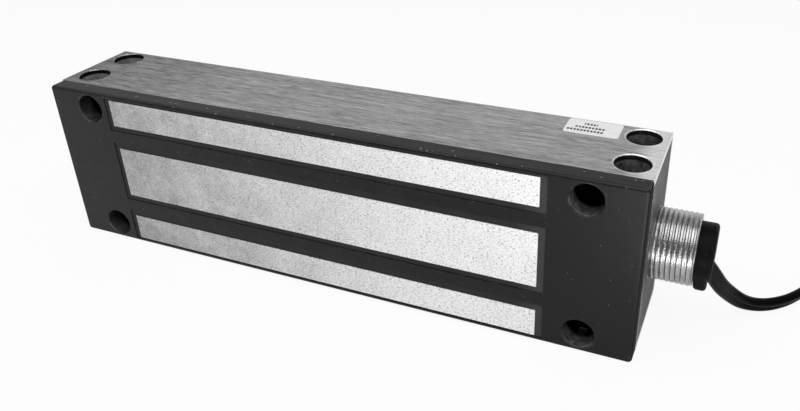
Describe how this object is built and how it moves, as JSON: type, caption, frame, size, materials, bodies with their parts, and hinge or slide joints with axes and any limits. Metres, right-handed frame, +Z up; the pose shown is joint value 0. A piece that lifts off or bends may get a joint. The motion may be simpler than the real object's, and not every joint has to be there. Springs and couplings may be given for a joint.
{
  "type": "electromagnetic lock",
  "caption": "Surface-mounted electromagnetic gate lock: metal body with bare pole faces in a black front, recessed bolt holes and a conduit nipple with a lead.",
  "frame": {"origin": "centre of the body's footprint on its lower long side", "axes": "+Z up out of the side with the recessed side holes, +X along the body to the conduit nipple, -Y out of the pole faces"},
  "size_m": [0.3983, 0.0818, 0.0721],
  "materials": {
    "brushed_channel": "brushed lengthwise",
    "plain_plate": "fine satin",
    "black_moulding": "moulded, slightly worn",
    "black_block": "moulded, matt",
    "core_steel": "ground, plated",
    "inner_steel": "zinc plated",
    "bobbin_plastic": "moulded",
    "winding_copper": "enamelled wire",
    "coil_tape": "polyester film",
    "inner_insulation": "extruded",
    "board": "lacquered",
    "varistor_coat": "dipped",
    "diode_body": "moulded",
    "nipple_metal": "bright zinc plate, cut thread",
    "black_rubber": "moulded, dull",
    "lead_sheath": "glossy extruded",
    "black_resin": "cast",
    "tie_plastic": "moulded",
    "tinned_wire": "tinned strands",
    "white_label": "paper face, blank"
  },
  "bodies": {
    "root": {"housing_channel": "brushed_channel", "end_plate_left": "plain_plate", "end_plate_right": "plain_plate", "front_frame": "black_moulding", "mounting_block_left": "black_block", "mounting_block_right": "black_block", "e_core": "core_steel", "core_clamp_left": "inner_steel", "core_clamp_right": "inner_steel", "core_rivets": "inner_steel", "coil_bobbin": "bobbin_plastic", "coil_winding": "winding_copper", "coil_tape": "coil_tape", "coil_leads": "inner_insulation", "circuit_board": "board", "varistor": "varistor_coat", "suppression_diodes": "diode_body", "board_screws": "inner_steel", "conduit_nipple": "nipple_metal", "nipple_gasket": "black_rubber", "cable_bung": "black_rubber", "inner_lead": "lead_sheath", "potting_resin": "black_resin", "lead": "lead_sheath", "lead_coil": "lead_sheath", "lead_tie": "tie_plastic", "wire_ends": "tinned_wire", "label": "white_label"}
  },
  "joints": []
}
